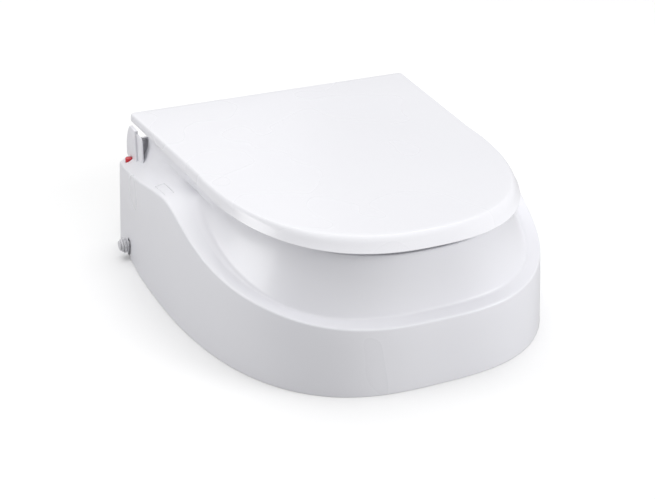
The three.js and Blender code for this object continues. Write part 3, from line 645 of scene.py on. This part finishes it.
# %% [markdown]
# ## Notches, button holes and shoulder sockets
# Each knob has a notch in the wall's bottom edge, so the shell can pass over the spindle. The red buttons
# work in round holes at the back corners, and each shoulder has a rectangular socket for an armrest post
# under a small cover. Their sizes come from the CAD pieces they belong to, with a little air round them.

# %% Cut the small openings
knob = size_mm("clamp_spindle_r")
red = size_mm("release_button_r")
cover = size_mm("socket_cover_r")
fit_y = lambda y: y - datum_y
AIR = 0.4
button_centre = ((red[0][0] + red[0][1]) / 2, fit_y((red[1][0] + red[1][1]) / 2))
button_radius = (red[0][1] - red[0][0]) / 2
for side in (1, -1):
    span = lambda a, b: (min(side * a, side * b), max(side * a, side * b))
    knob_y = (fit_y(knob[1][0]) - 2, fit_y(knob[1][1]) + 2)
    cut(shell, block(span(200, 245), knob_y, (-10, knob[2][1] + 2)))
    hole = [(0, 88), (button_radius + AIR, 88), (button_radius + AIR, 145), (0, 145)]
    cut(shell, turned("cutter", hole, at(side * button_centre[0], button_centre[1], 0), (0, 0, 1), 48))
    cut(shell, block(span(cover[0][0] - AIR, cover[0][1] + AIR),
                     (fit_y(cover[1][0]) - AIR, fit_y(cover[1][1]) + AIR), (112, 150)))
dress(shell, white_gloss, "base", "white", "shell", angle=32)
print("shell:", faces_of(shell), "faces, wall 3 mm")

# %% [markdown]
# ## Guides inside the shell
# The height carriage's side plates run in moulded channels, and a shelf and a trough carry the latch. They
# are ribs of the same moulding, so they run into the wall: each rib is cut from a block and kept to the
# inner half of the wall's thickness, where nothing of it can show outside.

# %% Channels, shelf and trough
def guide(name, outer, inner):
    return cut(block(*outer, name=name), block(*inner))


PAST_WALL = 240
PLATE_SLOT = (195.6, 200.4)
guides = [
    guide("front_channel", ((193, PAST_WALL), (-220, -205), (2, 122)), (PLATE_SLOT, (-210.4, -190), (-5, 160))),
    guide("rear_channel", ((193, PAST_WALL), (-35, -26), (26, 100)), (PLATE_SLOT, (-50, -29.6), (-5, 160))),
    guide("pawl_trough", ((185, PAST_WALL), (-27, -3), (3, 22)), ((187.6, 200.4), (-40, -4.2), (5.6, 30))),
]
shelf = block((185.5, PAST_WALL), (-25, -3), (80, 86), name="button_shelf")
rod_hole = [(0, 60), (2.9, 60), (2.9, 110), (0, 110)]
cut(shelf, turned("cutter", rod_hole, at(button_centre[0], button_centre[1], 0), (0, 0, 1), 32))
guides.append(shelf)
for rib in guides:
    cut(rib, copy_of(guide_limit, "limit"), "INTERSECT")
bpy.data.objects.remove(guide_limit)
right_guides = joined("shell_guides_r", guides)
left_guides = mirror_copy(right_guides, "shell_guides_l")
for piece in (right_guides, left_guides):
    dress(piece, white_gloss, "base", "white")
print("guides:", faces_of(right_guides), "faces a side")

# %% [markdown]
# ## The lid
# The lid is a flat plate with a shallow skirt all round, moulded in one. Its skin is grown as one closed
# loft: out from the middle of the underside, down the inside of the skirt, round its lip, up the outside,
# over a small edge radius and in to the middle of the top. The sides slope out to a longer rim, most of all
# at the front. The top is crowned by a third of a millimetre, as real lids are, so its reflection isn't
# dead flat.

# %% Lid skin
LID_UNDER = LID_TOP - LID_PLATE


def lid_row(up, inset, z):
    return [at(x, y, z(y) if callable(z) else z) for x, y in d_ring(lid_outline(up, inset))]


def lid_between(t):
    """Height a share t of the way from the rim to the top, at each y."""
    return lambda y: lid_bottom(y) + (LID_TOP - lid_bottom(y)) * t


lid_rows = [lid_row(0.7, 9.0, LID_UNDER), lid_row(0.7, 5.0, LID_UNDER - 0.2),
            lid_row(0.6, 3.7, LID_UNDER - 1.2)]
LIP = [(0.08, 3.2, 1.0), (0.0, 3.0, 0.3), (0.0, 2.5, 0.0), (0.0, 1.0, 0.0), (0.0, 0.4, 0.3), (0.02, 0.1, 1.0)]
for up, inset, lift in LIP:
    lid_rows.append(lid_row(up, inset, lambda y, lift=lift: lid_bottom(y) + lift))
SHOULDER = 0.66
for t in (0.3, 0.5, SHOULDER):
    lid_rows.append(lid_row(t, 0.1 + 0.15 * t, lid_between(t)))
for step in range(1, 9):
    u = step / 8
    up = SHOULDER + (1 - SHOULDER) * (1 - (1 - u) ** 2)
    rise = 1 - (1 - u) ** 1.7
    climb = lambda y, rise=rise: lid_between(SHOULDER)(y) * (1 - rise) + (LID_TOP - 0.3) * rise
    lid_rows.append(lid_row(min(1.0, up), 0.2 + 2.6 * u * u, climb))
for inset, drop in ((9, 0.2), (30, 0.1), (60, 0.04)):
    lid_rows.append(lid_row(1, inset, LID_TOP - drop))
lid = loft("lid_moulding", lid_rows)
print("lid:", faces_of(lid), "faces")

# %% [markdown]
# ## Hinge lugs
# The lid and the seat turn on the same two steel pins. Each has a pair of lugs: the lid's run straight down
# from its underside, and the seat's are longer because the seat plate ends ahead of the hinge bay. A lug is
# a bevelled prism, a round boss and a bored hole, joined by booleans so that no inner walls are left.

# %% Lugs for the lid and the seat
HINGE_Y, HINGE_Z = -8.0, 130.0
LUG_R = 10.0
LID_LUG_X, SEAT_LUG_X = (151, 163), (136, 148)
SEAT_BOTTOM, SEAT_TOP = 146.3, 158.3
SEAT_BACK = -70.0


def along_x(name, radius, x0, x1, steps=48, edge=0.0):
    profile = [(0, x0), (radius - edge, x0)]
    if edge:
        profile += [(radius, x0 + edge), (radius, x1 - edge)]
    else:
        profile += [(radius, x0), (radius, x1)]
    profile += [(radius - edge, x1), (0, x1)]
    clean = [p for i, p in enumerate(profile) if i == 0 or p != profile[i - 1]]
    return turned(name, clean, at(0, HINGE_Y, HINGE_Z), (1, 0, 0), steps)


def lug(name, profile, x0, x1):
    body = prism(profile, x0, x1, name, 0.8)
    cut(body, along_x("boss", LUG_R, x0, x1, 56, 0.8), "UNION")
    return cut(body, along_x("bore", 4.2, x0 - 5, x1 + 5))


lid_lug = lug("lid_lug", [(HINGE_Y - LUG_R, HINGE_Z), (-2.2, HINGE_Z), (-2.2, LID_UNDER + 1.5),
                          (HINGE_Y - LUG_R, LID_UNDER + 1.5)], *LID_LUG_X)
seat_lug = lug("seat_lug", [(SEAT_BACK - 14, SEAT_BOTTOM + 0.4), (HINGE_Y - 24, SEAT_BOTTOM + 0.4),
                            (HINGE_Y - 9, HINGE_Z - 3), (HINGE_Y + 7.5, HINGE_Z + 6),
                            (HINGE_Y - 12, SEAT_TOP - 2), (SEAT_BACK - 14, SEAT_TOP - 1)], *SEAT_LUG_X)
for side in (1, -1):
    cut(lid, copy_of(lid_lug, "lug") if side > 0 else mirror_copy(lid_lug, "lug"), "UNION")
bpy.data.objects.remove(lid_lug)
dress(lid, lid_gloss, "lid", "white", "lid", angle=38)
print("lid with lugs:", faces_of(lid), "faces")

# %% [markdown]
# ## The seat ring
# The seat is a ring with rounded edges, its top dished down towards the aperture. A closed ring is a loft
# whose last station is its first again, so the skin meets itself and the doubled points are merged. Each
# point of the aperture's ring looks out in the same direction as its partner on the D outline.

# %% Seat skin
SEAT_OUTER = dict(back=SEAT_BACK, straight=123, length=361, half=164.9, rear_half=174.2,
                  power=RING_ROUND, corner=8)
seat_master = d_ring(SEAT_OUTER)


def seat_row(t, z, grow=0.0, outer_inset=0.0):
    """t is 0 on the outer outline and 1 on the aperture's."""
    row = []
    for x, y in seat_master:
        a = math.atan2((y + 240) / 165, x / 165)
        hx, hy = oval_point(a, *hole_grown(grow))
        cx, cy = x * (1 - outer_inset / 175), -250 + (y + 250) * (1 - outer_inset / 185)
        row.append(at(cx + (hx - cx) * t, cy + (hy - cy) * t, z))
    return row


seat_rows = [seat_row(0, SEAT_BOTTOM, 0, 1.2), seat_row(0, SEAT_BOTTOM + 1.2)]
for step in range(6):
    a = step / 5 * math.pi / 2
    seat_rows.append(seat_row(0, SEAT_TOP - 5 + 4.4 * math.sin(a), 0, 5 * (1 - math.cos(a))))
seat_rows += [seat_row(0.35, SEAT_TOP, 6, 5), seat_row(0.7, SEAT_TOP - 0.1, 6, 5)]
for step in range(6):
    a = step / 5 * math.pi / 2
    seat_rows.append(seat_row(1, SEAT_TOP - 0.6 - 6 * (1 - math.cos(a)), 6.5 * (1 - math.sin(a)) + 0.2))
seat_rows += [seat_row(1, SEAT_BOTTOM + 1.0, 0.2), seat_row(1, SEAT_BOTTOM, 1.2)]
seat_rows.append(seat_rows[0])
seat = loft("seat_moulding", seat_rows, close_first=False, close_last=False)
for side in (1, -1):
    cut(seat, copy_of(seat_lug, "lug") if side > 0 else mirror_copy(seat_lug, "lug"), "UNION")
bpy.data.objects.remove(seat_lug)
dress(seat, seat_gloss, "seat", "seat_white", "seat", angle=38)
print("seat:", faces_of(seat), "faces")

# %% [markdown]
# ## The splash guard
# A funnel hangs from the deck's aperture down into the bowl. It is a thin ring again: outside down, inside
# up, with a flange on top that lies on the deck.

# %% Splash guard skin
def guard_row(grow, z):
    return [at(*oval_point(2 * math.pi * i / 144, *hole_grown(grow)), z) for i in range(144)]


guard_rows = [guard_row(0.4, 72.6), guard_row(0.9, 72.0), guard_row(1.7, 72.3)]
guard_rows += [guard_row(2 + 9 * t, 72.6 + 69.0 * t) for t in (0.02, 0.35, 0.7, 0.97, 1.0)]
guard_rows += [guard_row(17.4, DECK_TOP + 0.35), guard_row(18, DECK_TOP + 0.8), guard_row(18, DECK_TOP + 1.3)]
guard_rows += [guard_row(17.4, DECK_TOP + 1.95), guard_row(10, DECK_TOP + 1.95), guard_row(8.6, DECK_TOP + 1.3)]
guard_rows += [guard_row(8.4 * t + 0.2, 72 + 68 * t) for t in (0.95, 0.7, 0.35, 0.03)]
guard_rows.append(guard_rows[0])
guard = loft("splash_funnel", guard_rows, close_first=False, close_last=False)
dress(guard, seat_gloss, "base", "seat_white", "splash_guard")
print("splash guard:", faces_of(guard), "faces")

# %% [markdown]
# ## Hinge towers
# A tower stands just outside the lid at each back corner and carries the end of the hinge pin. Its back is
# one long round, and a thinner web runs forward from it. Its foot follows the shoulder's slope and sinks a
# little into the shell, so no line of light shows under it. Behind the web a bracket stands on the bay's
# floor.

# %% Towers
tower_x = size_mm("hinge_tower_r")[0]
TOWER_IN, TOWER_OUT = LID_REAR_HALF + 1.3, LID_REAR_HALF + 5.5
BRACKET_IN = tower_x[0]
TOWER_BACK, TOWER_ROUND, TOWER_TOP, HEAD_FRONT = 2.0, 50.0, 155.0, -37.0
CURVE_Z = TOWER_TOP - 39


def foot_height(y):
    return edge_height(min(y, BASE_BACK)) + shoulder_rise(y) * (205 - TOWER_OUT) / 21 - 0.8


head = [(y, foot_height(y)) for y in (HEAD_FRONT, -28, -20, -10, TOWER_BACK)]
for step in range(17):
    a = step / 16 * math.asin((TOWER_TOP - CURVE_Z) / TOWER_ROUND)
    head.append((TOWER_BACK - TOWER_ROUND + TOWER_ROUND * math.cos(a), CURVE_Z + TOWER_ROUND * math.sin(a)))
head.append((HEAD_FRONT, TOWER_TOP))
WEB_TOP, WEB_THICK = TOWER_TOP - 4, 1.8
web = [(y, foot_height(y)) for y in (-56, -46, -36)] + [(-36, WEB_TOP), (-53, WEB_TOP), (-56, WEB_TOP - 3)]
tower = prism(head, TOWER_IN, TOWER_OUT, "hinge_tower_moulding_r", 0.7)
cut(tower, prism(web, TOWER_IN, TOWER_IN + WEB_THICK, "web", 0.4), "UNION")
bracket_profile = lambda low: [(-35, low), (-29, low), (-29, DECK_TOP), (-35, DECK_TOP)]
cut(tower, prism(bracket_profile(BAY_FLOOR + 0.3), BRACKET_IN, BAY_HALF - 0.3, "bracket", 0.5), "UNION")
cut(tower, prism(bracket_profile(124), BAY_HALF - 2, TOWER_IN + 1, "link"), "UNION")
relief = [(0, 85), (button_radius + AIR, 85), (button_radius + AIR, red[2][1] + 2), (0, red[2][1] + 2)]
cut(tower, turned("cutter", relief, at(button_centre[0], button_centre[1], 0), (0, 0, 1), 48))
cut(tower, along_x("bore", 4.15, TOWER_IN - 5, TOWER_OUT - 0.7))
tower_left = mirror_copy(tower, "hinge_tower_moulding_l")
dress(tower, white_gloss, "base", "white", "hinge_tower_r", angle=30)
dress(tower_left, white_gloss, "base", "white", "hinge_tower_l", angle=30)
print("tower:", faces_of(tower), "faces, thickness", round(TOWER_OUT - TOWER_IN, 1))

# %% [markdown]
# ## Turned pieces
# Buttons, pads, discs and pins are all turned shapes. `rounded_disc` reads a CAD node's box, takes its axis
# and radius from it, and spins a profile with rounded rims inside that box, so a change in the CAD is
# followed.

# %% Rounded discs from the CAD boxes
def rounded_disc(node, axis, material, body, slot, edge=0.8, dome=0.0):
    low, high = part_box(node)
    index = "xyz".index(axis)
    others = [i for i in range(3) if i != index]
    radius = (high[others[0]] - low[others[0]]) / 2 / MM
    length = (high[index] - low[index]) / MM
    edge = min(edge, radius * 0.45, length * 0.45)
    profile = [(0, 0), (radius - edge, 0)]
    for step in range(1, 5):
        a = step / 4 * math.pi / 2
        profile.append((radius - edge + edge * math.sin(a), edge * (1 - math.cos(a))))
    top = length - dome
    for step in range(5):
        a = step / 4 * math.pi / 2
        profile.append((radius - edge + edge * math.cos(a), top - edge + edge * math.sin(a)))
    for step in range(1, 5):
        t = step / 4
        profile.append(((radius - edge) * (1 - t), top + dome * (1 - (1 - t) ** 2)))
    centre = (low + high) / 2
    centre[index] = low[index]
    direction = Vector((0, 0, 0))
    direction[index] = 1
    piece = turned(node + "_turned", profile, centre, direction, 56)
    return dress(piece, material, body, slot, node)


for hand in ("r", "l"):
    rounded_disc("release_button_" + hand, "z", button_red, "button_" + hand, "red", 0.9, 0.7)
    rounded_disc("jaw_pad_" + hand, "x", pad_rubber, "jaw_" + hand, "rubber", 1.0)
    rounded_disc("jaw_plate_" + hand, "x", frame_plastic, "jaw_" + hand, "frame_grey", 0.7)
    rounded_disc("clamp_spindle_" + hand, "x", pin_steel, "screw_" + hand, "steel", 0.5)
    rounded_disc("knob_cap_" + hand, "x", knob_plastic, "screw_" + hand, "knob_white", 0.5)
    rounded_disc("hinge_pin_" + hand, "x", pin_steel, "base", "steel", 0.5)
    for place in ("front", "rear"):
        rounded_disc(f"seat_buffer_{place}_{hand}", "z", buffer_rubber, "seat", "pad_grey", 0.9)
        rounded_disc(f"lid_buffer_{place}_{hand}", "z", buffer_rubber, "lid", "pad_grey", 0.7)
        rounded_disc(f"rim_pad_{place}_{hand}", "z", pad_rubber, "carriage", "rubber", 1.2)

# %% [markdown]
# ## Clamp knobs
# Low on each side sits a stepped knob: a small collar, a wide grip disc and a smaller outer disc, with
# round grooves between them that catch shadow. Finger notches are cut round the grip by turned cutters.

# %% Knobs
knob_box = size_mm("clamp_knob_r")
KNOB_X0, KNOB_X1 = knob_box[0]
KNOB_CENTRE = (fit_y((knob_box[1][0] + knob_box[1][1]) / 2), (knob_box[2][0] + knob_box[2][1]) / 2)
KNOB_R = (knob_box[2][1] - knob_box[2][0]) / 2
KNOB_LENGTH = KNOB_X1 - KNOB_X0
collar = [(1.9, 0), (1.5, 0.05), (1.5, 0.25), (2.4, 0.29), (2.4, 0.33)]
grip = [(0.9, 0.36), (0.2, 0.40), (0.0, 0.45), (0.0, 0.58), (0.3, 0.64), (1.1, 0.68)]
outer_disc = [(3.0, 0.70), (3.0, 0.735), (2.3, 0.76), (2.0, 0.80), (2.0, 0.88), (2.4, 0.94), (3.2, 1.0)]
drops = collar + grip + outer_disc
steps = [(0, 0)] + [(KNOB_R - drop, share * KNOB_LENGTH) for drop, share in drops] + [(0, KNOB_LENGTH)]
knob_right = turned("clamp_knob_moulding_r", steps, at(KNOB_X0, *KNOB_CENTRE), (1, 0, 0), 96)
NOTCHES, NOTCH_R, BORE_R = 6, 2.6, 4.3
notch = [(0, 0), (NOTCH_R, 0), (NOTCH_R, 0.45 * KNOB_LENGTH), (0, 0.45 * KNOB_LENGTH)]
reach = KNOB_R + 1.4
for i in range(NOTCHES):
    a = i / NOTCHES * 2 * math.pi
    notch_y = KNOB_CENTRE[0] + reach * math.cos(a)
    notch_z = KNOB_CENTRE[1] + reach * math.sin(a)
    place = at(KNOB_X0 + 0.3 * KNOB_LENGTH, notch_y, notch_z)
    cut(knob_right, turned("cutter", notch, place, (1, 0, 0), 24))
bore = [(0, -1), (BORE_R, -1), (BORE_R, 0.58 * KNOB_LENGTH), (0, 0.58 * KNOB_LENGTH)]
cut(knob_right, turned("cutter", bore, at(KNOB_X0, *KNOB_CENTRE), (1, 0, 0), 40))
knob_left = mirror_copy(knob_right, "clamp_knob_moulding_l")
dress(knob_right, knob_plastic, "screw_r", "knob_white", "clamp_knob_r")
dress(knob_left, knob_plastic, "screw_l", "knob_white", "clamp_knob_l")
print("knob:", faces_of(knob_right), "faces, radius", round(KNOB_R, 1))

# %% [markdown]
# ## Return springs
# Under each red button a coil spring stands on the latch's shelf. The wire is a small circle carried along
# a helix, with almost a whole flat turn at each end so that it sits square.

# %% Coil springs
WIRE, TURNS, STEPS, BUTTON_TRAVEL = 0.5, 7, 24, 5.0


def coil(node, name):
    low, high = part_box(node)
    middle = (low + high) / 2
    around = (high.x - low.x) / 2 - WIRE * MM
    z0, z1 = low.z + WIRE * MM, high.z - WIRE * MM
    bm = bmesh.new()
    rings = []
    for i in range(TURNS * STEPS + 1):
        turn = i / STEPS
        share = min(1.0, max(0.0, (turn - 0.85) / (TURNS - 1.7)))
        angle = turn * 2 * math.pi
        out = Vector((math.cos(angle), math.sin(angle), 0))
        centre = Vector((middle.x, middle.y, z0 + (z1 - z0) * share)) + out * around
        ring = []
        for k in range(8):
            b = k / 8 * 2 * math.pi
            ring.append(bm.verts.new(centre + (out * math.cos(b) + Vector((0, 0, math.sin(b)))) * WIRE * MM))
        rings.append(ring)
    for a, b in zip(rings, rings[1:]):
        for k in range(8):
            bm.faces.new((a[k], b[k], b[(k + 1) % 8], a[(k + 1) % 8]))
    bm.faces.new(rings[0])
    bm.faces.new(list(reversed(rings[-1])))
    bmesh.ops.recalc_face_normals(bm, faces=bm.faces)
    return finish_mesh(name, bm)


for hand in ("r", "l"):
    spring = coil("return_spring_" + hand, "return_spring_coil_" + hand)
    dress(spring, pin_steel, "base", "steel", "return_spring_" + hand, angle=60)
    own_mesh(spring)

# %% [markdown]
# ## Machined and moulded parts kept from the CAD
# Covers, carriage, side plates, pawls, rods and screws already have the right shape, so they keep their CAD
# meshes and get finished materials: grey filled plastic for the carriage, steel for the working parts.

# %% Materials for the kept nodes
KEPT = [("socket_cover", white_gloss), ("tower_screw", pin_steel), ("plate_screw", pin_steel),
        ("pawl", pin_steel), ("push_rod", frame_plastic), ("rim_frame", frame_plastic),
        ("side_plate", frame_plastic)]
kept = 0
for node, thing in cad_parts.items():
    for prefix, material in KEPT:
        if node.startswith(prefix):
            thing.data.materials.clear()
            thing.data.materials.append(material)
            kept += 1
print("CAD nodes kept with new materials:", kept)

# %% [markdown]
# ## Camera
# The view is from the front left and above, with a long lens a little over a metre and a half away, which
# keeps the perspective gentle. The camera's three axes are worked out from the two angles and a very small
# roll.

# %% Camera
AZIMUTH, ELEVATION, ROLL = (math.radians(v) for v in (-24.4772, 26.8658, 0.3043))
CAMERA_PLACE = (-607.776, -1512.491, 765.366)
LENS, SENSOR = 74.87, 36
flat = math.cos(ELEVATION)
back = Vector((math.sin(AZIMUTH) * flat, -math.cos(AZIMUTH) * flat, math.sin(ELEVATION)))
level = Vector((math.cos(AZIMUTH), math.sin(AZIMUTH), 0))
upright = back.cross(level)
camera_right = level * math.cos(ROLL) + upright * math.sin(ROLL)
camera_up = upright * math.cos(ROLL) - level * math.sin(ROLL)
camera_data = bpy.data.cameras.new("camera")
camera_data.lens = LENS
camera_data.sensor_width = SENSOR
camera = bpy.data.objects.new("camera", camera_data)
bpy.context.scene.collection.objects.link(camera)
turn = Matrix((camera_right, camera_up, back)).transposed().to_4x4()
camera.matrix_world = Matrix.Translation(at(*CAMERA_PLACE)) @ turn
bpy.context.scene.camera = camera
print("camera at:", tuple(round(v, 3) for v in camera.location))

# %% [markdown]
# ## Floor and light
# White glossy plastic shows its shape only by what it reflects, so the light is a soft room: a broad lamp
# overhead, one low on the left, one at the front right, one high in front and a faint one behind. Little
# comes from the camera's side, which leaves the front wall a shade darker than the top. The floor is a
# plain pale sheet. To the camera it is nearly white, but a Light Path node makes it bounce much less light,
# so the front wall isn't lit from below.

# %% Floor, lamps and world
def lamp(name, place, aim, size, power):
    data = bpy.data.lights.new(name, "AREA")
    data.shape = "RECTANGLE"
    data.size, data.size_y = size
    data.energy = power
    thing = bpy.data.objects.new(name, data)
    bpy.context.scene.collection.objects.link(thing)
    thing.location = place
    thing.rotation_euler = (Vector(aim) - Vector(place)).to_track_quat("-Z", "Y").to_euler()
    return thing


bm = bmesh.new()
bmesh.ops.create_grid(bm, x_segments=2, y_segments=2, size=40)
bmesh.ops.translate(bm, vec=(0, 0, -0.0004), verts=bm.verts)
floor = finish_mesh("floor", bm)
paper = plastic("floor_paper", (0.93, 0.93, 0.93), (0.92, 0.92, 0.92), (0.7, 0.8), 0.0)
paper_nodes, paper_links = paper.node_tree.nodes, paper.node_tree.links
seen = paper_nodes.new("ShaderNodeLightPath")
dim = paper_nodes.new("ShaderNodeMix")
dim.data_type = "RGBA"
dim.inputs["A"].default_value = (0.42, 0.42, 0.42, 1)
paper_links.new(seen.outputs["Is Camera Ray"], dim.inputs["Factor"])
paper_links.new(paper_nodes["Principled BSDF"].inputs["Base Color"].links[0].from_socket, dim.inputs["B"])
paper_links.new(dim.outputs["Result"], paper_nodes["Principled BSDF"].inputs["Base Color"])
floor.data.materials.append(paper)
middle = (0, 0, 0.1)
lamp("overhead", (0.2, 0.7, 2.8), middle, (3.8, 3.2), 59)
lamp("left_strip", (-2.4, 0.7, 0.45), middle, (1.2, 1.6), 26)
lamp("front_right", (1.9, -1.8, 0.9), middle, (1.3, 1.3), 31)
lamp("front_high", (0.3, -2.6, 1.9), middle, (2.4, 1.2), 17)
lamp("back_top", (0.0, 2.4, 1.7), middle, (2.2, 1.2), 5)
world = bpy.data.worlds.new("room")
world.use_nodes = True
world.node_tree.nodes["Background"].inputs["Color"].default_value = (1.0, 1.0, 1.0, 1)
world.node_tree.nodes["Background"].inputs["Strength"].default_value = 0.43
bpy.context.scene.world = world
bpy.context.scene.view_settings.view_transform = "Standard"
